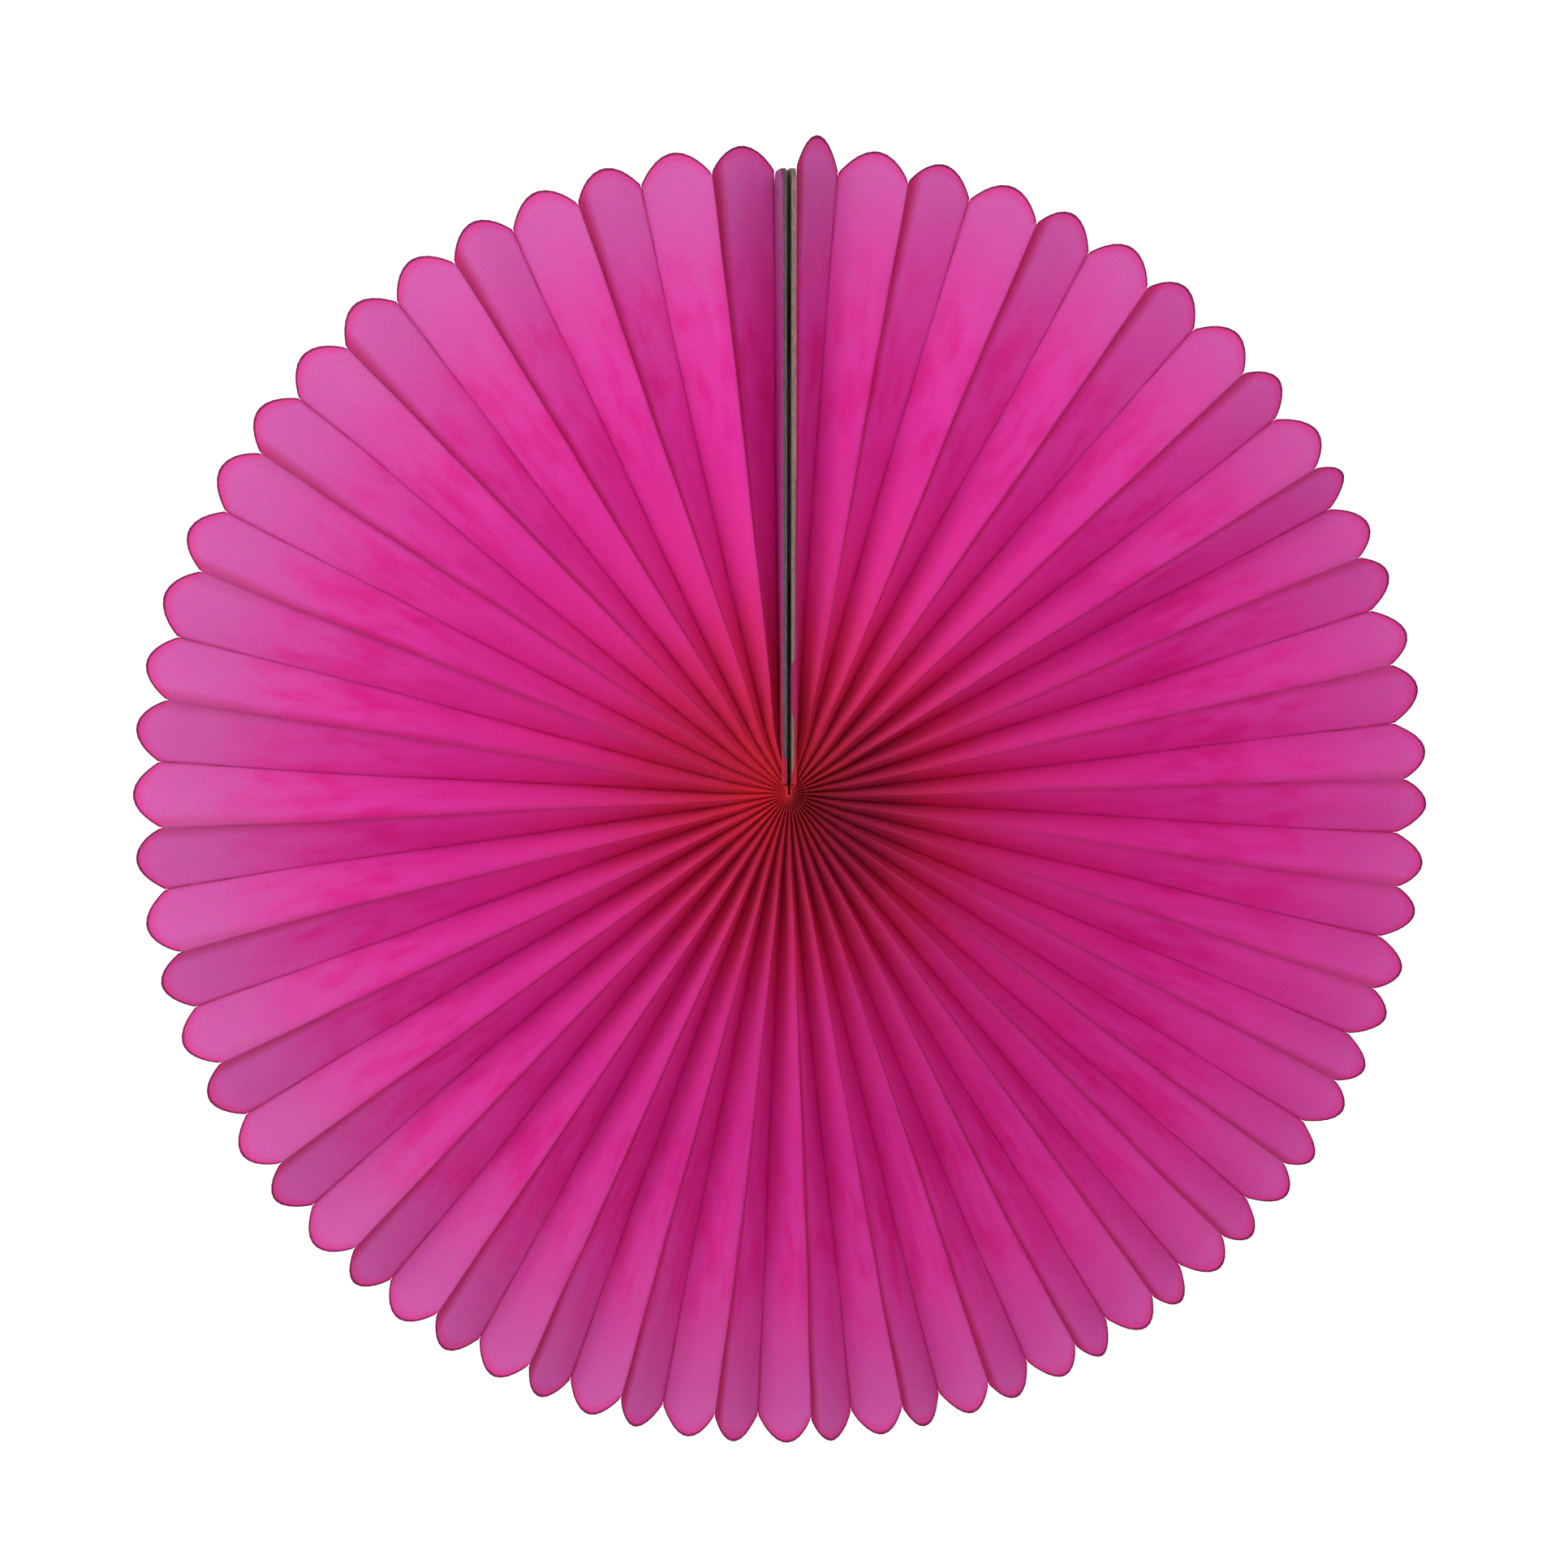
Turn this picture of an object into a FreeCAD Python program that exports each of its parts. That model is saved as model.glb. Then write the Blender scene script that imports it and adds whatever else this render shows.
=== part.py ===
"""Tissue-paper fan rosette, opened through a full turn.

Two chipboard end boards stand back to back at the top seam. A chain of thin tissue leaves runs clockwise
from the right board, round the hub, to the left board. Each leaf is a round-ended tongue as wide as the
boards and a little longer. It is glued along its front edge to one neighbour and along its back edge to the
other, so the open fan is a ring of V-shaped cells. Two loops of thread stitch the inner ends together.

Frame: millimetres, +Z up along the seam, the hub axis along Y and the front at -Y. The origin is on the hub
axis, halfway through the depth. Angles are clockwise from +Z as seen from the front.
"""
import FreeCAD
import Part
import math
import os

Vector = FreeCAD.Vector

# Driving dimensions, in mm
FAN_RADIUS = 228.6          # an 18 inch fan
LEAF_WIDTH = 26.0           # front edge to back edge, on the flat leaf
TIP_HEIGHT = 10.2           # the rounded end, measured along the leaf
LEAF_THICKNESS = 0.10
LEAF_CLEARANCE = 0.03       # between a leaf and the glue line it meets
FREE_LEAVES = 69            # leaves that stand free between the two boards
TWIST_STEPS = 12            # flat-sided lengths that make up a leaf's twist
BOARD_THICKNESS = 1.6
BOARD_LENGTH = 215.0        # the boards stop where the leaves' round ends begin
BOARD_CORNER = 5.0          # radius of a board's two outer corners
SEAM_GAP = 1.6              # between the backs of the two boards
HUB_RADIUS = 4.2            # hub axis to the leaves' inner ends

# How evenly the open leaves spread: gravity opens the top cells and closes the bottom ones
SPREAD_SWING = 0.20         # share of the mean pitch gained at the widest place
SPREAD_WIDEST = -16.0       # degrees, where the cells are widest
PINCH_SHARE = 0.25          # share lost where two or three cells are caught together
PINCH_ANGLE = 55.0          # degrees
PINCH_SPAN = 5.3            # degrees
BOARD_SHARE = 0.36          # share lost by the first leaf, which the right board holds upright

# The folded pack
PACKED_PAIR = 0.1           # thickness of one pair of leaves when the fan is shut

# Thread, holes and seam tape
THREAD_RING_RADIUS = 6.2
THREAD_RADIUS = 0.25
THREAD_DEPTH = 10.5         # each thread loop is this far in front of or behind the hub's middle
LEAF_HOLE_RADIUS = 0.45
BOARD_HOLE_RADIUS = 0.75
HANG_HOLE_RADIUS = 1.5
HANG_HOLE_FROM_END = 8.0    # hole to the board's outer end
TAPE_LENGTH = 30.0
TAPE_WIDTH = 12.0
TAPE_THICKNESS = 1.5
TAPE_STARTS = {"seam_tape_inner": 45.0, "seam_tape_outer": 150.0}   # height of each tape's lower end

PAIRS = (FREE_LEAVES - 1) // 2
FACING_X = SEAM_GAP / 2 + BOARD_THICKNESS           # a board's glued face, from the seam plane
SEAM_X = FACING_X + 1.5 * LEAF_THICKNESS + LEAF_CLEARANCE      # the glue lines beside the boards
SEAM_TURN = math.degrees(math.asin(SEAM_X / HUB_RADIUS))
BOARD_FOOT = HUB_RADIUS * math.cos(math.radians(SEAM_TURN))
HANG_HEIGHT = BOARD_FOOT + BOARD_LENGTH - HANG_HOLE_FROM_END
LEAF_LENGTH = FAN_RADIUS - HUB_RADIUS
STRAIGHT_LENGTH = LEAF_LENGTH - TIP_HEIGHT


def radial(angle):
    """Outward direction at an angle clockwise from +Z."""
    return Vector(math.sin(math.radians(angle)), 0, math.cos(math.radians(angle)))


def tangent(angle):
    """Clockwise direction at that angle."""
    return Vector(math.cos(math.radians(angle)), 0, -math.sin(math.radians(angle)))


def pitch_share(leaf):
    """How wide the pitch of a leaf is, against the others."""
    angle = (leaf - 0.5) * 360 / FREE_LEAVES
    swing = SPREAD_SWING * math.cos(math.radians(angle - SPREAD_WIDEST))
    pinch = PINCH_SHARE * math.exp(-(((angle - PINCH_ANGLE) / PINCH_SPAN) ** 2))
    held = BOARD_SHARE if leaf == 1 else 0
    return 1 + swing - pinch - held


def glue_line_angles():
    """Directions of the glue lines, from the right board's front edge to the left board's back edge."""
    shares = [pitch_share(leaf) for leaf in range(1, FREE_LEAVES + 1)]
    angles = [0.0]
    for share in shares:
        angles.append(angles[-1] + 360 * share / sum(shares))
    return angles


LINE_ANGLES = glue_line_angles()


def hub_point(line):
    """Where a glue line starts: the inner ends share the hub circle with the feet of the two boards."""
    turn = 180 + (LINE_ANGLES[line] - 180) * (180 - SEAM_TURN) / 180
    return radial(turn) * HUB_RADIUS


def on_line(line, along):
    """A point of a glue line, in the fan's middle plane, at a distance from its inner end."""
    return hub_point(line) + radial(LINE_ANGLES[line]) * along


def line_y(line, along):
    """How far in front (-) or behind (+) a glue line is: even lines are front ridges, odd ones back ridges.

    A leaf's width is fixed, so its two lines are nearer in depth where they are further apart round the fan.
    """
    side = -1 if line % 2 == 0 else 1
    if line in (0, FREE_LEAVES):
        return side * LEAF_WIDTH / 2
    apart = (on_line(line + 1, along) - on_line(line - 1, along)).Length / 2
    return side * math.sqrt(LEAF_WIDTH ** 2 - apart ** 2) / 2


def edge_points(leaf, along, side):
    """A point on each long edge of a leaf; side -1 and 1 are its two faces."""
    inset = LEAF_THICKNESS / 2 + LEAF_CLEARANCE
    lines = (leaf - 1, leaf)
    first, second = (on_line(line, along) + Vector(0, line_y(line, along), 0) for line in lines)
    first += tangent(LINE_ANGLES[leaf - 1]) * inset
    second -= tangent(LINE_ANGLES[leaf]) * inset
    normal = radial((LINE_ANGLES[leaf - 1] + LINE_ANGLES[leaf]) / 2).cross(second - first).normalize()
    return [point + normal * side * LEAF_THICKNESS / 2 for point in (first, second)]


def section(leaf, along):
    """Corners of a leaf's thin section, in order round it."""
    near, far = edge_points(leaf, along, -1), edge_points(leaf, along, 1)
    return [near[0], near[1], far[1], far[0]]


def flat_face(corners):
    """A flat face with three or more corners."""
    return Part.Face(Part.makePolygon([*corners, corners[0]]))


def twisted_leaf(leaf):
    """A leaf with a square tip. It twists from the hub outwards, in short lengths of two flat triangles."""
    sections = [section(leaf, LEAF_LENGTH * step / TWIST_STEPS) for step in range(TWIST_STEPS + 1)]
    faces = [flat_face(sections[0]), flat_face(sections[-1])]
    for inner, outer in zip(sections, sections[1:]):
        # the two faces and the two long edges, each between two corners of the section
        for first, second in ((0, 1), (3, 2), (0, 3), (1, 2)):
            faces.append(flat_face((inner[first], inner[second], outer[second])))
            faces.append(flat_face((inner[first], outer[second], outer[first])))
    shell = Part.makeShell(faces)
    shell.sewShape()
    solid = Part.Solid(shell)
    if solid.Volume < 0:
        solid.reverse()
    return solid


def tip_outline(shoulder):
    """A face in the XZ plane, wider than a leaf up to the shoulders, where a parabola rounds the tip."""
    left, right = Vector(-shoulder, 0, STRAIGHT_LENGTH), Vector(shoulder, 0, STRAIGHT_LENGTH)
    outside = [right, Vector(LEAF_WIDTH, 0, STRAIGHT_LENGTH), Vector(LEAF_WIDTH, 0, 0),
               Vector(-LEAF_WIDTH, 0, 0), Vector(-LEAF_WIDTH, 0, STRAIGHT_LENGTH), left]
    crown = Part.BezierCurve()
    crown.setPoles([left, Vector(0, 0, STRAIGHT_LENGTH + 2 * TIP_HEIGHT), right])
    return Part.Face(Part.Wire(Part.makePolygon(outside).Edges + [crown.toShape()]))


def tip_trim(leaf):
    """A prism along Y that rounds the leaf's tip and leaves the rest of it alone."""
    shoulder = (on_line(leaf, STRAIGHT_LENGTH) - on_line(leaf - 1, STRAIGHT_LENGTH)).Length / 2
    prism = tip_outline(shoulder).extrude(Vector(0, 2 * LEAF_WIDTH, 0))
    prism.translate(Vector(0, -LEAF_WIDTH, 0))
    prism.rotate(Vector(), Vector(0, 1, 0), (LINE_ANGLES[leaf - 1] + LINE_ANGLES[leaf]) / 2)
    prism.translate((hub_point(leaf - 1) + hub_point(leaf)) / 2)
    return prism


def thread_loop(y, radius):
    """A ring round the hub axis."""
    return Part.makeTorus(THREAD_RING_RADIUS, radius, Vector(0, y, 0), Vector(0, 1, 0))


def cut_thread_holes(solid, radius):
    """The solid with a hole for each of the two thread loops."""
    for y in (-THREAD_DEPTH, THREAD_DEPTH):
        solid = solid.cut(thread_loop(y, radius))
    return solid.Solids[0]


def free_leaf(leaf):
    """One free tissue leaf, numbered 1 to FREE_LEAVES clockwise from the right board."""
    return cut_thread_holes(twisted_leaf(leaf).common(tip_trim(leaf)), LEAF_HOLE_RADIUS)


def seam_strip(x, thickness):
    """A flat strip beside the seam, from x to x + thickness, with its thread holes and hanging hole."""
    strip = Part.makeBox(thickness, LEAF_WIDTH, BOARD_LENGTH, Vector(x, -LEAF_WIDTH / 2, BOARD_FOOT))
    corners = [edge for edge in strip.Edges
               if edge.BoundBox.ZMin > HANG_HEIGHT and edge.BoundBox.YLength < thickness / 2]
    strip = strip.makeFillet(BOARD_CORNER, corners)
    hole = Part.makeCylinder(HANG_HOLE_RADIUS, thickness, Vector(x, 0, HANG_HEIGHT), Vector(1, 0, 0))
    return cut_thread_holes(strip.cut(hole), BOARD_HOLE_RADIUS)


def seam_tape(start):
    """Double-sided foam tape on the back of the left board. It holds the fan open."""
    corner = Vector(-SEAM_GAP / 2, -TAPE_WIDTH / 2, start)
    return Part.makeBox(TAPE_THICKNESS, TAPE_WIDTH, TAPE_LENGTH, corner)


def build():
    """Every sub-part, by node name."""
    nodes = {
        "left_board": seam_strip(-FACING_X, BOARD_THICKNESS),
        "right_board": seam_strip(SEAM_GAP / 2, BOARD_THICKNESS),
        "left_facing_leaf": seam_strip(-FACING_X - LEAF_THICKNESS, LEAF_THICKNESS),
        "right_facing_leaf": seam_strip(FACING_X, LEAF_THICKNESS),
        "first_leaf": free_leaf(1),
        "hub_thread_front": thread_loop(-THREAD_DEPTH, THREAD_RADIUS),
        "hub_thread_back": thread_loop(THREAD_DEPTH, THREAD_RADIUS),
    }
    for name, start in TAPE_STARTS.items():
        nodes[name] = seam_tape(start)
    for pair in range(1, PAIRS + 1):
        nodes[f"leaf_pair_{pair:02d}"] = Part.makeCompound([free_leaf(2 * pair), free_leaf(2 * pair + 1)])
    return nodes


def fold_axes():
    """Where and how far each body turns on the one before it when the fan shuts.

    The chain runs from the left board, through pair PAIRS down to pair 1, to the right board. Each entry is
    (x, z, turn): the body turns by turn degrees about +Y at (x, z). That leaves it parallel to the body
    before it and one packed thickness away.
    """
    lines = [FREE_LEAVES] + [2 * pair for pair in range(PAIRS, -1, -1)]
    angles = [LINE_ANGLES[line] for line in lines]
    axes = []
    for parent in range(len(lines) - 1):
        turn = angles[parent] - angles[parent + 1]
        packed = hub_point(lines[parent]) - tangent(angles[parent]) * PACKED_PAIR
        turned = FreeCAD.Rotation(Vector(0, 1, 0), turn).multVec(hub_point(lines[parent + 1]))
        step = packed - turned
        quarter = FreeCAD.Rotation(Vector(0, 1, 0), 90).multVec(step)
        axis = step / 2 + quarter / (2 * math.tan(math.radians(turn) / 2))
        axes.append((axis.x, axis.z, turn))
    return axes


def main():
    """Write one STEP file for each sub-part, and print the hinge axes."""
    os.makedirs("parts", exist_ok=True)
    for name, shape in build().items():
        shape.exportStep(f"parts/{name}.step")
        print(f"{name}: {len(shape.Solids)} solid(s), {shape.Volume:.1f} mm3, valid {shape.isValid()}")
    for x, z, turn in fold_axes():
        print(f"hinge at x {x:.3f}, z {z:.3f} turns {turn:.3f} degrees")


main()
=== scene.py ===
"""Looks of the tissue-paper fan rosette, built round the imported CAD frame.

Every leaf is a thin closed shell on a grid that runs along and across the leaf. Two leaves that share a front
fold make one piece, which stands for the CAD node of the same pair. Metres, +Z up, front at -Y.
"""
import math

import bmesh
import bpy
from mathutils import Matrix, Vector, noise


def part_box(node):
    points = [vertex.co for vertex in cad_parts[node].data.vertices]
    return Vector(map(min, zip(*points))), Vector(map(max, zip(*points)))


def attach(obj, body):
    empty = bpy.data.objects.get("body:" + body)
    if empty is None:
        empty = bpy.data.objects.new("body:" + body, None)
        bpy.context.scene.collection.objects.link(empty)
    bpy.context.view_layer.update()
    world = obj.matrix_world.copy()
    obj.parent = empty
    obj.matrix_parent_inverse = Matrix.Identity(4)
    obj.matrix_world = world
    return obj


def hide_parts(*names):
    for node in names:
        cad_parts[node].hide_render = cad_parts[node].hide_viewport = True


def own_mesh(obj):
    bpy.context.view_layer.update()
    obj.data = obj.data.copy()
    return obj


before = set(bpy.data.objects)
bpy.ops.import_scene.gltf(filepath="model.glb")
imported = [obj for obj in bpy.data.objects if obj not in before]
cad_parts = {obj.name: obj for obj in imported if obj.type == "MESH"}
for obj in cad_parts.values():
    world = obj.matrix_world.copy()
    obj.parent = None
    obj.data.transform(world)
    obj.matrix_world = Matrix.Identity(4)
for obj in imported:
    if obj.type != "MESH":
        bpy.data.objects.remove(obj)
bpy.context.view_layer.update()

# The fan, as in the CAD source. Lengths are in metres and angles in degrees.
FAN_RADIUS = 0.2286         # middle of the hub to the leaves' tips
LEAF_WIDTH = 0.026          # also the fan's depth
TIP_HEIGHT = 0.0102         # rounded end of a leaf
FREE_LEAVES = 69
HUB_RADIUS = 0.0042         # circle on which the fold lines start
SEAM_X = 0.00258            # glue lines beside the boards
SPREAD_SWING = 0.20         # share of the mean pitch gained at the widest place
SPREAD_WIDEST = -16.0       # angle of that place
PINCH_SHARE = 0.25          # share of the mean pitch lost where the petals crowd
PINCH_ANGLE = 55.0
PINCH_SPAN = 5.3
BOARD_SHARE = 0.36          # share lost by the first leaf, which the right board holds upright
PAIRS = (FREE_LEAVES - 1) // 2
LEAF_LENGTH = FAN_RADIUS - HUB_RADIUS
STRAIGHT_LENGTH = LEAF_LENGTH - TIP_HEIGHT

# The leaf's grid and its unevenness
TISSUE = 0.00006            # thickness of the leaf's shell
FIRST_LEAF_OVERREACH = 0.003    # the first leaf's tip stands out from the others
ROWS = 64
TIP_ROWS = 8
COLUMNS = (-1, -0.93, -0.86, -0.80, -0.74, -0.64, -0.48, -0.28, -0.08)  # the left half; the right mirrors it
ROW_CROWDING = 1.15         # power that draws the rows in towards the hub
WELD = 0.000002             # points nearer than this are one
GLUE_INSET = 0.000028       # a leaf's edge to the glue line
GLUED_WIDTH = 0.0022        # two leaves lie together along a fold for this width
GLUED_WIDTH_AT_TIP = 0.0005
SEAM_TOUCH = 0.000045       # the first and last leaves reach past their glue lines to the boards' facings
RIDGE_SHADE_WIDTH = 0.0062        # painted shade reaches this far into a leaf from a front fold
GLUE_TAPER = 0.045          # the glued strip narrows over this length towards the tip
PRESSED_FRONT = 0.0008      # at the hub the leaves are pressed together, front and back, for these widths
PRESSED_BACK = 0.0250
PRESSED_REACH = 0.045       # the pressed strips ease to the glued ones over about this length
HUB_HOLE = 0.0006           # the gathered leaves close the hub to this radius
CLOSING_LENGTH = 0.020      # stretch over which they close in
CONE_DIP = 0.0042           # how far the ridges fall back round the hub's cone
CONE_RADIUS = 0.024
CONE_SPAN = 0.55            # the cone's width, against its radius
SHADE_SIDE_ANGLE = 105.0         # painted shade lies on this side of the hub
HUB_SHADE_REACH = 0.055
SIDE_SHADE_SHARE = 0.075            # painted shade: on that side the ramp's colours reach this share further out, so that side is darker
LAP_ROWS = 90               # tissue that laps over the boards' front edges near the hub
LAP_COLUMNS = 6
LAP_LIFT = 0.00010          # gap under a lap
# share of the painted hub shade on the laps
LAP_HUB_SHADE = 1.0
LEFT_LAP = ((0.0034, 1.0), (0.011, 1.0), (0.014, 0.12), (0.030, 0.04))      # (height, share covered)
RIGHT_LAP = ((0.0034, 1.0), (0.006, 1.0), (0.010, 0.45), (0.025, 0.45), (0.029, 1.0), (0.044, 1.0),
             (0.048, 0.30), (0.075, 0.20), (0.110, 0.04))
BOW = 0.0011                # how far a leaf bows between its two lines
STEADY_BOW = 0.35           # share of the bow that every leaf has the same way
WRINKLE = 0.00035
FINE_SHARE = 0.35           # small wrinkles against large ones
SLOW_WANDER = 0.0016        # a fold line's wander at the tip, in long waves and in short ones
FAST_WANDER = 0.0003
THREAD_STEPS = 240          # rings of points round one loop
THREAD_TURNS = 34           # twists of the two plies round one loop
THREAD_SIDES = 8

# Dye along a leaf and its marks, as (place, sRGB colour), with painted light and painted shade among them
# painted light: the deep red at the hub stands for light bounced between the gathered layers, the pale tips
# for light shining through one layer
BODY_DYE_AND_PAINTED_LIGHT = [(0.00, (250, 56, 60)), (0.07, (230, 48, 86)), (0.16, (240, 60, 132)), (0.32, (238, 64, 176)),
            (0.52, (230, 62, 180)), (0.68, (226, 72, 180)), (0.80, (220, 88, 180)), (0.93, (213, 106, 182))]
# painted shade beside the front folds
PAINTED_RIDGE_SHADE = [(0.10, (180, 10, 34)), (0.45, (190, 12, 62)), (0.90, (186, 14, 92))]
# painted shade of the layers behind, in patches
PAINTED_PATCH_SHADE = (222, 18, 148)
BACK_FOLD_DYE = (206, 18, 124)
TIP_GLOW_DYE = (224, 26, 136)
RIM_DYE = (132, 10, 84)
# painted shade on one side of the hub
HUB_SHADE_TINT = (0.62, 0.68, 0.84, 1.0)   # linear
BLACK, WHITE = (0, 0, 0), (255, 255, 255)

# Chipboard in dark, middle and pale tones; the left board's tones are darker and greyer
LEFT_BOARD_TONES = (52, 42, 48), (72, 60, 66), (94, 82, 86)
RIGHT_BOARD_TONES = (78, 66, 58), (108, 92, 80), (134, 116, 100)

# Light and camera
KEY_LIGHT = {"size": 0.5, "power": 4.1, "colour": (1.0, 0.99, 0.97), "azimuth": -40, "elevation": 20,
             "distance": 0.85}
BACK_LIGHT = {"size": 1.6, "power": 14, "colour": (1.0, 1.0, 1.0), "azimuth": 176, "elevation": 12,
              "distance": 2.2}
SKY_STRENGTH = 1.14
FLOOR_SIZE = 7
FLOOR_HEIGHT = -0.9
CAMERA = {"azimuth": -6.0, "elevation": 1.0, "distance": 2.6, "width": 0.550, "aim": (-0.0005, 0, 0.0031)}
SENSOR_WIDTH = 36           # millimetres


def radial(angle):
    """Outward direction at an angle in degrees, clockwise from +Z."""
    return Vector((math.sin(math.radians(angle)), 0, math.cos(math.radians(angle))))


def tangent(angle):
    """Clockwise direction at that angle."""
    return Vector((math.cos(math.radians(angle)), 0, -math.sin(math.radians(angle))))


def pitch_share(leaf):
    """How wide the pitch of a leaf is, against the others."""
    angle = (leaf - 0.5) * 360 / FREE_LEAVES
    swing = SPREAD_SWING * math.cos(math.radians(angle - SPREAD_WIDEST))
    pinch = PINCH_SHARE * math.exp(-(((angle - PINCH_ANGLE) / PINCH_SPAN) ** 2))
    held = BOARD_SHARE if leaf == 1 else 0
    return 1 + swing - pinch - held


def fold_line_angles():
    """Directions of the fold lines, from the right board round to the left board."""
    shares = [pitch_share(leaf) for leaf in range(1, FREE_LEAVES + 1)]
    angles = [0.0]
    for share in shares:
        angles.append(angles[-1] + 360 * share / sum(shares))
    return angles


LINE_ANGLES = fold_line_angles()
SEAM_TURN = math.degrees(math.asin(SEAM_X / HUB_RADIUS))


def smooth(share):
    """0 to 1 with no kink at either end."""
    share = min(1.0, max(0.0, share))
    return share * share * (3 - 2 * share)


def hub_point(line):
    """Where a fold line starts on the hub circle."""
    turn = 180 + (LINE_ANGLES[line] - 180) * (180 - SEAM_TURN) / 180
    return radial(turn) * HUB_RADIUS


def on_line(line, along):
    """A point of a fold line in the fan's middle plane. Near the hub it closes in on the axis."""
    start = hub_point(line)
    if 0 < line < FREE_LEAVES:
        closed = 1 - smooth(along / CLOSING_LENGTH)
        start = start * (1 - closed * (1 - HUB_HOLE / HUB_RADIUS))
    return start + radial(LINE_ANGLES[line]) * along


def line_y(line, along):
    """Depth of a fold line: even lines are front ridges, odd ones back ridges."""
    side = -1 if line % 2 == 0 else 1
    if line in (0, FREE_LEAVES):
        return side * LEAF_WIDTH / 2
    apart = math.radians(LINE_ANGLES[line + 1] - LINE_ANGLES[line - 1]) / 2 * (along + HUB_RADIUS)
    half = math.sqrt(LEAF_WIDTH ** 2 - apart ** 2) / 2
    if side < 0:
        near_cone = math.exp(-(((along + HUB_RADIUS - CONE_RADIUS) / (CONE_SPAN * CONE_RADIUS)) ** 2))
        half -= CONE_DIP * near_cone
    return side * half


def line_wander(line, along):
    """A fold line's small sideways wander, in metres. Both leaves that meet on the line share it."""
    if line in (0, FREE_LEAVES):
        return 0.0
    share = along / LEAF_LENGTH
    slow = noise.noise(Vector((line * 3.17, share * 2.2, 0.0)))
    fast = noise.noise(Vector((line * 5.31, share * 9.0, 4.0)))
    return (SLOW_WANDER * slow * share + FAST_WANDER * fast * share)


def strip_width(line, along):
    """Width of the strip, along a fold line, where two leaves lie together."""
    taper = smooth((STRAIGHT_LENGTH - along) / GLUE_TAPER)
    glued = GLUED_WIDTH_AT_TIP + (GLUED_WIDTH - GLUED_WIDTH_AT_TIP) * taper
    pressed = PRESSED_FRONT if line % 2 == 0 else PRESSED_BACK
    return glued + (pressed - glued) * math.exp(-along / PRESSED_REACH)


def leaf_point(leaf, along, across):
    """A point of a leaf's middle surface; across runs from -1 to 1 between its two fold lines.

    Beside each line the leaf lies flat against its neighbour, straight back from a front ridge or straight
    forward from a back one. Between those strips it runs slantwise from one to the other.
    """
    edges, corners, strips = [], [], []
    for line, inward in ((leaf - 1, 1), (leaf, -1)):
        inset = GLUE_INSET if 0 < line < FREE_LEAVES else -SEAM_TOUCH
        sideways = inward * inset + line_wander(line, along)
        point = on_line(line, along) + tangent(LINE_ANGLES[line]) * sideways
        depth = line_y(line, along)
        strip = strip_width(line, along)
        edges.append(point + Vector((0, depth, 0)))
        corners.append(point + Vector((0, depth - math.copysign(strip, depth), 0)))
        strips.append(2 * strip / LEAF_WIDTH)
    over = corners[1] - corners[0]
    span = 2 - strips[0] - strips[1]
    share = min(1.0, max(0.0, (across + 1 - strips[0]) / span))
    place = corners[0] + over * share
    if across + 1 < strips[0]:
        place = edges[0] + (corners[0] - edges[0]) * (across + 1) / strips[0]
    elif 1 - across < strips[1]:
        place = edges[1] + (corners[1] - edges[1]) * (1 - across) / strips[1]
    normal = radial((LINE_ANGLES[leaf - 1] + LINE_ANGLES[leaf]) / 2).cross(over).normalized()
    reach = along / LEAF_LENGTH
    arch = 4 * share * (1 - share)
    lean = noise.noise(Vector((leaf * 7.7, reach * 1.4, 1.0)))
    bow = BOW * arch * (STEADY_BOW + lean) * smooth(reach * 3)
    crease = noise.noise(Vector((leaf * 4.1, across * 1.3, reach * 5.0)))
    fine = noise.noise(Vector((leaf * 9.1, across * 4.0, reach * 16.0)))
    ripple = WRINKLE * (crease + FINE_SHARE * fine) * min(1.0, 3 * arch) * smooth(reach * 2.5)
    return place + normal * (bow + ripple)


def leaf_grid(leaf):
    """Points over one leaf with its rounded tip, and for each point its place and its marks.

    The place is (across, along, leaf number). The marks are the distance from the leaf's front fold, how far
    the leaf faces right, and the painted shade at the hub.
    """
    columns = COLUMNS + tuple(-across for across in reversed(COLUMNS))
    tip_height = TIP_HEIGHT + (FIRST_LEAF_OVERREACH if leaf == 1 else 0)
    faces_right = right_facing(leaf)
    front_side = -1 if leaf % 2 else 1
    angle = (LINE_ANGLES[leaf - 1] + LINE_ANGLES[leaf]) / 2
    points, places, marks = [], [], []
    for row in range(ROWS + TIP_ROWS + 1):
        row_points, row_places, row_marks = [], [], []
        for across in columns:
            along = STRAIGHT_LENGTH * min(1.0, row / ROWS) ** ROW_CROWDING
            crown = (1 - across * across) * max(0, row - ROWS) / TIP_ROWS
            row_points.append(leaf_point(leaf, along + tip_height * crown, across))
            row_places.append(Vector((across * LEAF_WIDTH / 2, along + TIP_HEIGHT * crown, leaf)))
            from_front = (1 - front_side * across) * LEAF_WIDTH / 2
            row_marks.append(Vector((from_front, faces_right, painted_hub_shade(angle, along))))
        points.append(row_points)
        places.append(row_places)
        marks.append(row_marks)
    return points, places, marks


def lap_cover(profile, height):
    """The share of a board's edge that is covered at a height, eased between the profile's steps."""
    for (foot, cover), (top, next_cover) in zip(profile, profile[1:]):
        if foot <= height <= top:
            return cover + (next_cover - cover) * smooth((height - foot) / (top - foot))
    return profile[-1][1]


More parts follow.
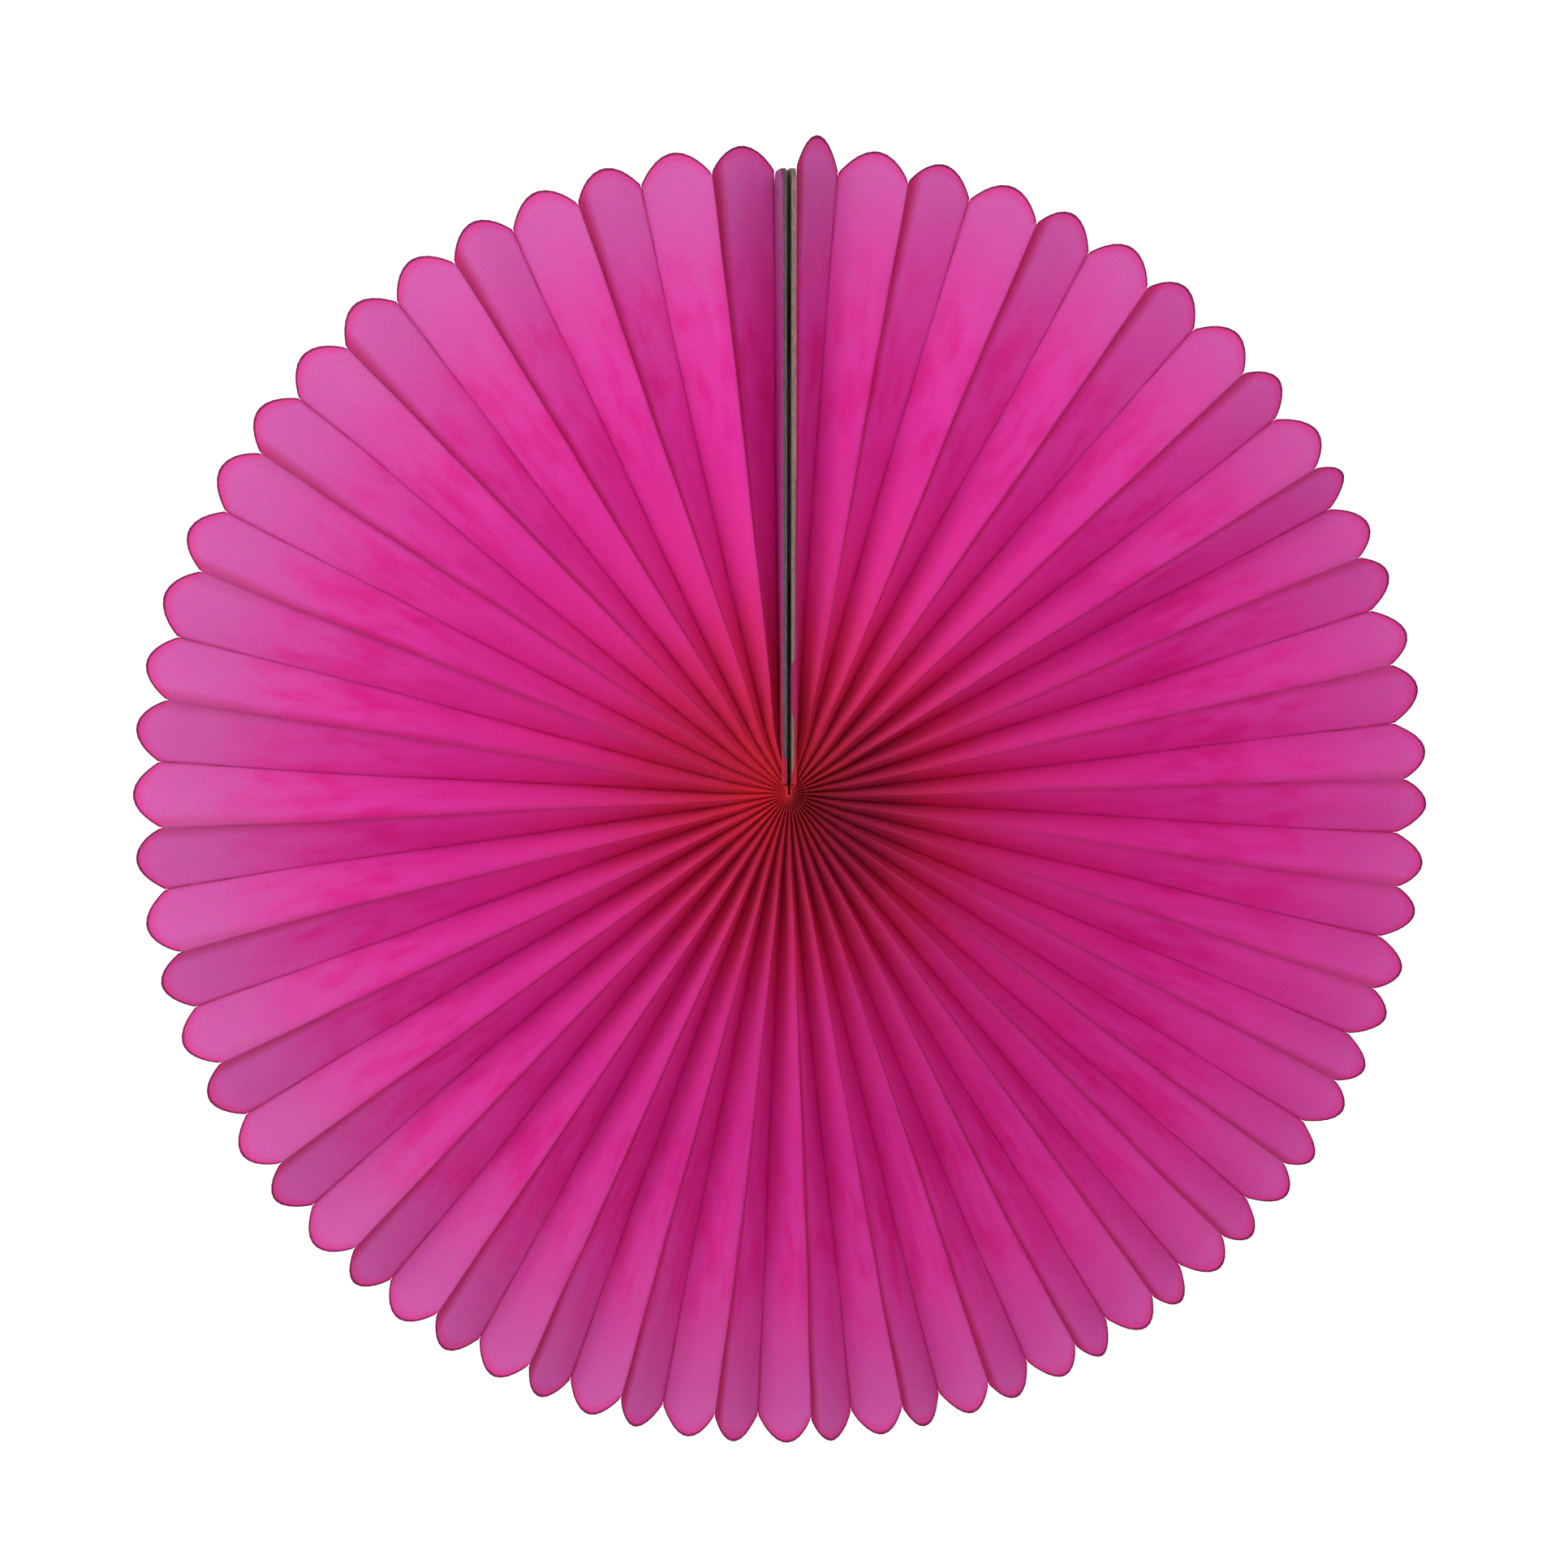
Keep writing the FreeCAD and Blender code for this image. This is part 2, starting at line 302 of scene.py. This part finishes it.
def lap_grid(side, profile):
    """A grid of tissue that laps over a board's front edge; side is -1 for the left board, or 1."""
    low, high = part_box("right_board" if side > 0 else "left_board")
    outer, inner = (high[0], low[0]) if side > 0 else (low[0], high[0])
    foot, top = profile[0][0], profile[-1][0]
    points, places, marks = [], [], []
    for row in range(LAP_ROWS + 1):
        height = foot + (top - foot) * row / LAP_ROWS
        width = (inner - outer) * lap_cover(profile, height)
        shares = [column / LAP_COLUMNS for column in range(LAP_COLUMNS + 1)]
        row_points = []
        for share in shares:
            lift = LAP_LIFT * (1 + math.sin(math.pi * share))
            row_points.append(Vector((outer + width * share, low[1] - lift, height)))
        points.append(row_points)
        places.append([Vector((LEAF_WIDTH / 4, height, side)) for _ in shares])
        # the laps take painted shade: the band beside a front fold and the full hub shade
        marks.append([Vector((RIDGE_SHADE_WIDTH / 2, 1.0, LAP_HUB_SHADE)) for _ in shares])
    return points, places, marks


def right_facing(leaf):
    """How far the front of a leaf turns to +X, from -1 to 1."""
    turn = tangent((LINE_ANGLES[leaf - 1] + LINE_ANGLES[leaf]) / 2).x
    return turn if leaf % 2 else -turn


def painted_hub_shade(angle, along):
    """How much painted shade lies here, on one side of the hub."""
    side = 0.5 + 0.5 * math.cos(math.radians(angle - SHADE_SIDE_ANGLE))
    return side ** 2 * smooth(1 - along / HUB_SHADE_REACH)


def new_piece(name, shape, material):
    """A piece in the scene from a bmesh, with its material."""
    bmesh.ops.recalc_face_normals(shape, faces=shape.faces[:])
    mesh = bpy.data.meshes.new(name)
    shape.to_mesh(mesh)
    shape.free()
    piece = bpy.data.objects.new(name, mesh)
    bpy.context.scene.collection.objects.link(piece)
    piece.data.materials.append(material)
    return piece


def add_shell(mesh, layers, points, places, marks):
    """Adds a grid of points to a bmesh as a thin closed shell, with two vectors kept on each vertex."""
    last_row, last_column = len(points) - 1, len(points[0]) - 1
    sides = []
    for side in (-1, 1):
        verts = []
        for r, row in enumerate(points):
            line = []
            for c, point in enumerate(row):
                up = points[min(r + 1, last_row)][c] - points[max(r - 1, 0)][c]
                over = row[min(c + 1, last_column)] - row[max(c - 1, 0)]
                normal = up.cross(over)
                if normal.length < 1e-12:
                    normal = (points[1][0] - points[0][0]).cross(over)
                vert = mesh.verts.new(point + normal.normalized() * side * TISSUE / 2)
                vert[layers[0]], vert[layers[1]] = places[r][c], marks[r][c]
                line.append(vert)
            verts.append(line)
        sides.append(verts)
    low, high = sides
    for r in range(last_row):
        for c in range(last_column):
            near = mesh.faces.new((low[r][c], low[r][c + 1], low[r + 1][c + 1], low[r + 1][c]))
            far = mesh.faces.new((high[r][c], high[r + 1][c], high[r + 1][c + 1], high[r][c + 1]))
            near.smooth = far.smooth = True
    rim = [(r, 0) for r in range(last_row)] + [(last_row, c) for c in range(last_column)]
    rim += [(r, last_column) for r in range(last_row, 0, -1)] + [(0, c) for c in range(last_column, 0, -1)]
    for here, there in zip(rim, rim[1:] + rim[:1]):
        corners = (low[here[0]][here[1]], low[there[0]][there[1]], high[there[0]][there[1]],
                   high[here[0]][here[1]])
        rim_face = mesh.faces.new(corners)
        rim_face.smooth = False
        for edge in rim_face.edges:
            edge.smooth = False


def tissue_piece(name, grids, material):
    """A piece of tissue made of one or more grids, each given as points, places and marks."""
    shape = bmesh.new()
    layers = [shape.verts.layers.float_vector.new(layer) for layer in ("leaf", "mark")]
    for points, places, marks in grids:
        add_shell(shape, layers, points, places, marks)
    bmesh.ops.remove_doubles(shape, verts=shape.verts[:], dist=WELD)
    return new_piece(name, shape, material)


class Nodes:
    """A short way to write a material's node tree."""

    def __init__(self, name):
        self.material = bpy.data.materials.new(name)
        self.material.use_nodes = True
        self.tree = self.material.node_tree
        self.tree.nodes.clear()
        self.output = self.add("ShaderNodeOutputMaterial")

    def add(self, kind, inputs=(), **settings):
        """A node with its settings, and its inputs given as values or as other nodes' sockets."""
        node = self.tree.nodes.new(kind)
        for key, value in settings.items():
            setattr(node, key, value)
        for key, value in dict(inputs).items():
            if isinstance(value, bpy.types.NodeSocket):
                self.tree.links.new(value, node.inputs[key])
            else:
                node.inputs[key].default_value = value
        return node

    def math(self, operation, first, second=0.5, clamp=False):
        """The result socket of one math node."""
        inputs = {0: first, 1: second}
        return self.add("ShaderNodeMath", inputs, operation=operation, use_clamp=clamp).outputs[0]

    def ramp(self, factor, stops):
        """The colour socket of a colour ramp with (position, sRGB colour) stops."""
        node = self.add("ShaderNodeValToRGB", {"Fac": factor})
        ramp = node.color_ramp
        while len(ramp.elements) < len(stops):
            ramp.elements.new(1.0)
        for element, (position, colour) in zip(ramp.elements, stops):
            element.position = position
            element.color = linear(colour)
        return node.outputs["Color"]

    def mix(self, factor, first, second, blend="MIX"):
        """The colour socket of a mix of two colours."""
        node = self.add("ShaderNodeMix", data_type="RGBA", blend_type=blend)
        for index, value in ((0, factor), (6, first), (7, second)):
            if isinstance(value, bpy.types.NodeSocket):
                self.tree.links.new(value, node.inputs[index])
            else:
                node.inputs[index].default_value = value
        return node.outputs[2]

    def noise(self, vector, scale, detail=3.0, roughness=0.55):
        """The factor socket of a noise texture."""
        inputs = {"Vector": vector, "Scale": scale, "Detail": detail, "Roughness": roughness}
        return self.add("ShaderNodeTexNoise", inputs).outputs["Fac"]

    def finish(self, shader):
        """Connects the shader and returns the material."""
        self.tree.links.new(shader, self.output.inputs["Surface"])
        return self.material


def linear(colour):
    """An sRGB colour in 0 to 255 as linear red, green, blue and alpha."""
    parts = [value / 255 for value in colour]
    return [part / 12.92 if part < 0.04045 else ((part + 0.055) / 1.055) ** 2.4 for part in parts] + [1.0]


def tissue_material(name, flat):
    """Dyed tissue, hot pink along the leaf, with painted light: deep red where many layers gather at the hub,
    pale at the tip.

    A flat facing leaf beside the seam takes its place on the leaf from its own coordinates.
    """
    n = Nodes(name)
    if flat:
        spot = n.add("ShaderNodeTexCoord").outputs["Object"]
        _, across, along = n.add("ShaderNodeSeparateXYZ", {0: spot}).outputs
        leaf = across
        from_front, faces_right, hub_shade = LEAF_WIDTH / 2, 0.0, 0.0
    else:
        place = n.add("ShaderNodeAttribute", attribute_name="leaf").outputs["Vector"]
        across, along, leaf = n.add("ShaderNodeSeparateXYZ", {0: place}).outputs
        mark = n.add("ShaderNodeAttribute", attribute_name="mark").outputs["Vector"]
        from_front, faces_right, hub_shade = n.add("ShaderNodeSeparateXYZ", {0: mark}).outputs
    # each leaf reads its own part of the noise
    own = n.math("MULTIPLY", leaf, 0.37)
    where = n.add("ShaderNodeCombineXYZ", {0: across, 1: along, 2: own}).outputs[0]
    stretched = n.add("ShaderNodeVectorMath", {0: where, 1: (2.2, 0.8, 1.0)}, operation="MULTIPLY").outputs[0]
    clouds = n.noise(stretched, 42.0, 3.0, 0.6)
    patches = n.noise(stretched, 62.0, 2.0, 0.5)
    drift = n.math("MULTIPLY", n.math("SUBTRACT", clouds, 0.5), 0.16)
    # painted shade: the leaves on one side of the fan take the deeper colours further out
    turn = n.math("SUBTRACT", n.math("MULTIPLY", leaf, 2 * math.pi / FREE_LEAVES), math.radians(SHADE_SIDE_ANGLE))
    # the share of painted shade on this leaf
    kept = n.math("MULTIPLY", n.math("ADD", n.math("COSINE", turn), 0.6), SIDE_SHADE_SHARE)
    out = n.math("DIVIDE", along, LEAF_LENGTH)
    reach = n.math("ADD", n.math("MULTIPLY", out, n.math("SUBTRACT", 1.0, kept)), drift)
    # painted light along the leaf: red glow towards the hub, pale lit tips
    body = n.ramp(reach, BODY_DYE_AND_PAINTED_LIGHT)
    # painted shade: hot-pink patches where the layers behind dim the light through the leaf, strongest two
    # thirds of the way out
    zone = n.ramp(out, [(0.45, BLACK), (0.62, WHITE), (0.78, (220, 220, 220)), (0.88, BLACK)])
    patch_shade = n.math("MULTIPLY", n.ramp(patches, [(0.42, BLACK), (0.68, WHITE)]), zone)
    coloured = n.mix(n.math("MULTIPLY", patch_shade, 0.65), body, linear(PAINTED_PATCH_SHADE))
    # painted shade on the right of each front fold, strongest on leaves that face right
    edge = n.math("DIVIDE", n.math("ABSOLUTE", across), LEAF_WIDTH / 2)
    ridge_shade_ramp = n.ramp(n.math("DIVIDE", from_front, RIDGE_SHADE_WIDTH), [(0.40, WHITE), (1.0, BLACK)])
    on_right = n.math("ADD", n.math("MULTIPLY", faces_right, 0.5), 0.5, clamp=True)
    front = n.math("MULTIPLY", ridge_shade_ramp, n.math("POWER", on_right, 1.5))
    # back folds and cut edges are thin dark lines
    from_back = n.math("SUBTRACT", 1.0, n.math("DIVIDE", from_front, LEAF_WIDTH))
    back = n.ramp(from_back, [(0.015, (190, 190, 190)), (0.10, BLACK)])
    crown = n.math("MAXIMUM", n.math("SUBTRACT", along, STRAIGHT_LENGTH), 0.0)
    up = n.math("DIVIDE", crown, TIP_HEIGHT)
    border = n.math("ADD", n.math("POWER", edge, 2.0), up)
    on_tip = n.math("GREATER_THAN", along, STRAIGHT_LENGTH)
    rim = n.math("MULTIPLY", n.ramp(border, [(0.88, BLACK), (0.96, WHITE)]), on_tip)
    glow = n.math("MULTIPLY", n.ramp(border, [(0.55, BLACK), (0.90, (190, 190, 190))]), on_tip)
    outward = n.ramp(reach, [(0.06, (40, 40, 40)), (0.40, (235, 235, 235))])
    ridge_shaded = n.mix(n.math("MULTIPLY", front, outward), coloured, n.ramp(reach, PAINTED_RIDGE_SHADE))
    creased = n.mix(n.math("MULTIPLY", back, outward), ridge_shaded, linear(BACK_FOLD_DYE))
    glowing = n.mix(glow, creased, linear(TIP_GLOW_DYE))
    dyed_and_shaded = n.mix(rim, glowing, linear(RIM_DYE))
    fibres = n.noise(n.add("ShaderNodeVectorMath", {0: where, 1: (1.0, 0.35, 1.0)},
                           operation="MULTIPLY").outputs[0], 2600.0, 3.0, 0.6)
    grain = n.ramp(fibres, [(0.3, (232, 232, 232)), (0.7, (255, 255, 255))])
    # painted shade on one side of the hub
    hub_shaded = n.mix(hub_shade, (1.0, 1.0, 1.0, 1.0), HUB_SHADE_TINT)
    colour = n.mix(1.0, n.mix(1.0, dyed_and_shaded, hub_shaded, "MULTIPLY"), grain, "MULTIPLY")
    bump = n.add("ShaderNodeBump", {"Strength": 0.25, "Distance": 0.0004,
                                    "Height": n.math("ADD", fibres, n.noise(stretched, 380.0, 4.0))})
    paper = n.add("ShaderNodeBsdfPrincipled", {"Base Color": colour, "Roughness": 0.85,
                                               "Specular IOR Level": 0.18, "Normal": bump.outputs[0]})
    through = n.add("ShaderNodeBsdfTranslucent", {"Color": colour, "Normal": bump.outputs[0]})
    both = n.add("ShaderNodeMixShader", {"Fac": 0.5, 1: paper.outputs[0], 2: through.outputs[0]})
    return n.finish(both.outputs[0])


def chipboard_material(name, dark, middle, pale):
    """Chipboard: layered fibres with darker flecks, in three tones."""
    n = Nodes(name)
    place = n.add("ShaderNodeTexCoord").outputs["Object"]
    layers = n.add("ShaderNodeVectorMath", {0: place, 1: (7.0, 1.3, 0.9)}, operation="MULTIPLY").outputs[0]
    plies = n.noise(layers, 430.0, 6.0, 0.7)
    specks = n.noise(place, 1500.0, 3.0)
    colour = n.ramp(plies, [(0.30, dark), (0.50, middle), (0.70, pale)])
    flecks = n.ramp(specks, [(0.56, BLACK), (0.68, (190, 190, 190))])
    flecked = n.mix(flecks, colour, linear(dark))
    height = n.math("ADD", plies, n.math("MULTIPLY", specks, 0.5))
    bump = n.add("ShaderNodeBump", {"Strength": 0.5, "Distance": 0.0003, "Height": height})
    board = n.add("ShaderNodeBsdfPrincipled", {"Base Color": flecked, "Roughness": 0.9,
                                               "Specular IOR Level": 0.2, "Normal": bump.outputs[0]})
    return n.finish(board.outputs[0])


def thread_material():
    """Twisted cotton thread."""
    n = Nodes("cotton")
    place = n.add("ShaderNodeTexCoord").outputs["Object"]
    twist = n.add("ShaderNodeTexWave", {"Vector": place, "Scale": 900.0, "Distortion": 2.0}).outputs["Fac"]
    colour = n.ramp(twist, [(0.2, (120, 10, 22)), (0.8, (176, 30, 44))])
    bump = n.add("ShaderNodeBump", {"Strength": 0.5, "Distance": 0.0001, "Height": twist})
    cotton = n.add("ShaderNodeBsdfPrincipled", {"Base Color": colour, "Roughness": 0.9,
                                                "Normal": bump.outputs[0]})
    return n.finish(cotton.outputs[0])


def foam_material():
    """Dark foam tape with fine open cells."""
    n = Nodes("foam")
    place = n.add("ShaderNodeTexCoord").outputs["Object"]
    cells = n.add("ShaderNodeTexVoronoi", {"Vector": place, "Scale": 2600.0}).outputs["Distance"]
    colour = n.ramp(cells, [(0.1, (18, 16, 16)), (0.6, (46, 42, 40))])
    bump = n.add("ShaderNodeBump", {"Strength": 0.6, "Distance": 0.0002, "Height": cells})
    foam = n.add("ShaderNodeBsdfPrincipled", {"Base Color": colour, "Roughness": 0.8,
                                              "Normal": bump.outputs[0]})
    return n.finish(foam.outputs[0])


def give_material(node, material):
    """Puts a material on a CAD node."""
    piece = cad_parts[node]
    if not piece.material_slots:
        piece.data.materials.append(None)
    for place in piece.material_slots:
        place.link = "OBJECT"
        place.material = material


def add_leaves(tissue):
    """All the free leaves."""
    first = tissue_piece("first_leaf_tissue", [leaf_grid(1)], tissue)
    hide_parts("first_leaf")
    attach(first, "right_board")
    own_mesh(first)
    for pair in range(1, PAIRS + 1):
        node = f"leaf_pair_{pair:02d}"
        piece = tissue_piece(node + "_tissue", [leaf_grid(2 * pair), leaf_grid(2 * pair + 1)], tissue)
        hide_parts(node)
        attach(piece, node)
        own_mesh(piece)


def add_laps(tissue):
    """Tissue lapped over the front edges of the two boards near the hub."""
    for name, side, profile in (("left_board", -1, LEFT_LAP), ("right_board", 1, RIGHT_LAP)):
        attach(tissue_piece(name + "_lap", [lap_grid(side, profile)], tissue), name)


def add_thread_loop(node, material):
    """A loop of two-ply thread in place of a CAD ring."""
    low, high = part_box(node)
    depth, thread = (low[1] + high[1]) / 2, (high[1] - low[1]) / 2
    ring, ply_radius = high[0] - thread, thread / 2
    shape = bmesh.new()
    for start in (0, math.pi):
        rows = []
        for step in range(THREAD_STEPS):
            outward = radial(360 * step / THREAD_STEPS)
            twist = start + 2 * math.pi * THREAD_TURNS * step / THREAD_STEPS
            middle = outward * (ring + ply_radius * math.cos(twist))
            middle += Vector((0, depth + ply_radius * math.sin(twist), 0))
            turns = [2 * math.pi * side / THREAD_SIDES for side in range(THREAD_SIDES)]
            rows.append([shape.verts.new(middle + outward * ply_radius * math.cos(turn)
                                         + Vector((0, ply_radius * math.sin(turn), 0))) for turn in turns])
        for row, following in zip(rows, rows[1:] + rows[:1]):
            for side in range(THREAD_SIDES):
                beside = (side + 1) % THREAD_SIDES
                face = shape.faces.new((row[side], following[side], following[beside], row[beside]))
                face.smooth = True
    piece = new_piece(node + "_twist", shape, material)
    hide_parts(node)
    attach(piece, "left_board")
    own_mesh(piece)


def stand_off(name, data, azimuth, elevation, distance, aim):
    """A light or camera at a distance from a point, and aimed at it. Azimuth 0 is in front."""
    thing = bpy.data.objects.new(name, data)
    a, e = math.radians(azimuth), math.radians(elevation)
    toward = Vector((math.sin(a) * math.cos(e), -math.cos(a) * math.cos(e), math.sin(e)))
    thing.location = Vector(aim) + toward * distance
    thing.rotation_euler = (-toward).to_track_quat("-Z", "Y").to_euler()
    bpy.context.scene.collection.objects.link(thing)
    return thing


def add_light(name, size, power, colour, azimuth, elevation, distance):
    """A soft area light aimed at the hub."""
    data = bpy.data.lights.new(name, "AREA")
    data.shape, data.size, data.energy, data.color = "DISK", size, power, colour
    stand_off(name, data, azimuth, elevation, distance, (0, 0, 0))


def add_stage():
    """A wide pale floor well below the fan, the lights and the sky."""
    bpy.ops.mesh.primitive_plane_add(size=FLOOR_SIZE, location=(0, 0, FLOOR_HEIGHT))
    floor = bpy.context.object
    floor.name = "floor"
    n = Nodes("pale_floor")
    mottle = n.noise(n.add("ShaderNodeTexCoord").outputs["Object"], 3.0)
    colour = n.ramp(mottle, [(0.3, (244, 244, 244)), (0.7, (250, 250, 250))])
    pale = n.add("ShaderNodeBsdfPrincipled", {"Base Color": colour, "Roughness": 0.9})
    floor.data.materials.append(n.finish(pale.outputs[0]))
    add_light("key", **KEY_LIGHT)
    add_light("back", **BACK_LIGHT)
    world = bpy.data.worlds.new("sky")
    world.use_nodes = True
    sky = world.node_tree.nodes["Background"].inputs
    sky["Color"].default_value = (1, 1, 1, 1)
    sky["Strength"].default_value = SKY_STRENGTH
    bpy.context.scene.world = world
    bpy.context.scene.view_settings.view_transform = "Standard"


def add_camera(azimuth, elevation, distance, width, aim):
    """A camera that takes in the given width at the fan's plane, aimed at a point of that plane."""
    data = bpy.data.cameras.new("camera")
    data.sensor_width = SENSOR_WIDTH
    data.lens = SENSOR_WIDTH * distance / width
    bpy.context.scene.camera = stand_off("camera", data, azimuth, elevation, distance, aim)


add_camera(**CAMERA)
tissue = tissue_material("tissue", flat=False)
add_leaves(tissue)
add_laps(tissue)
facing = tissue_material("facing_tissue", flat=True)
for node in ("left_facing_leaf", "right_facing_leaf"):
    give_material(node, facing)
give_material("left_board", chipboard_material("darker_chipboard", *LEFT_BOARD_TONES))
give_material("right_board", chipboard_material("chipboard", *RIGHT_BOARD_TONES))
cotton = thread_material()
for node in ("hub_thread_front", "hub_thread_back"):
    add_thread_loop(node, cotton)
foam = foam_material()
for node in ("seam_tape_inner", "seam_tape_outer"):
    give_material(node, foam)
add_stage()
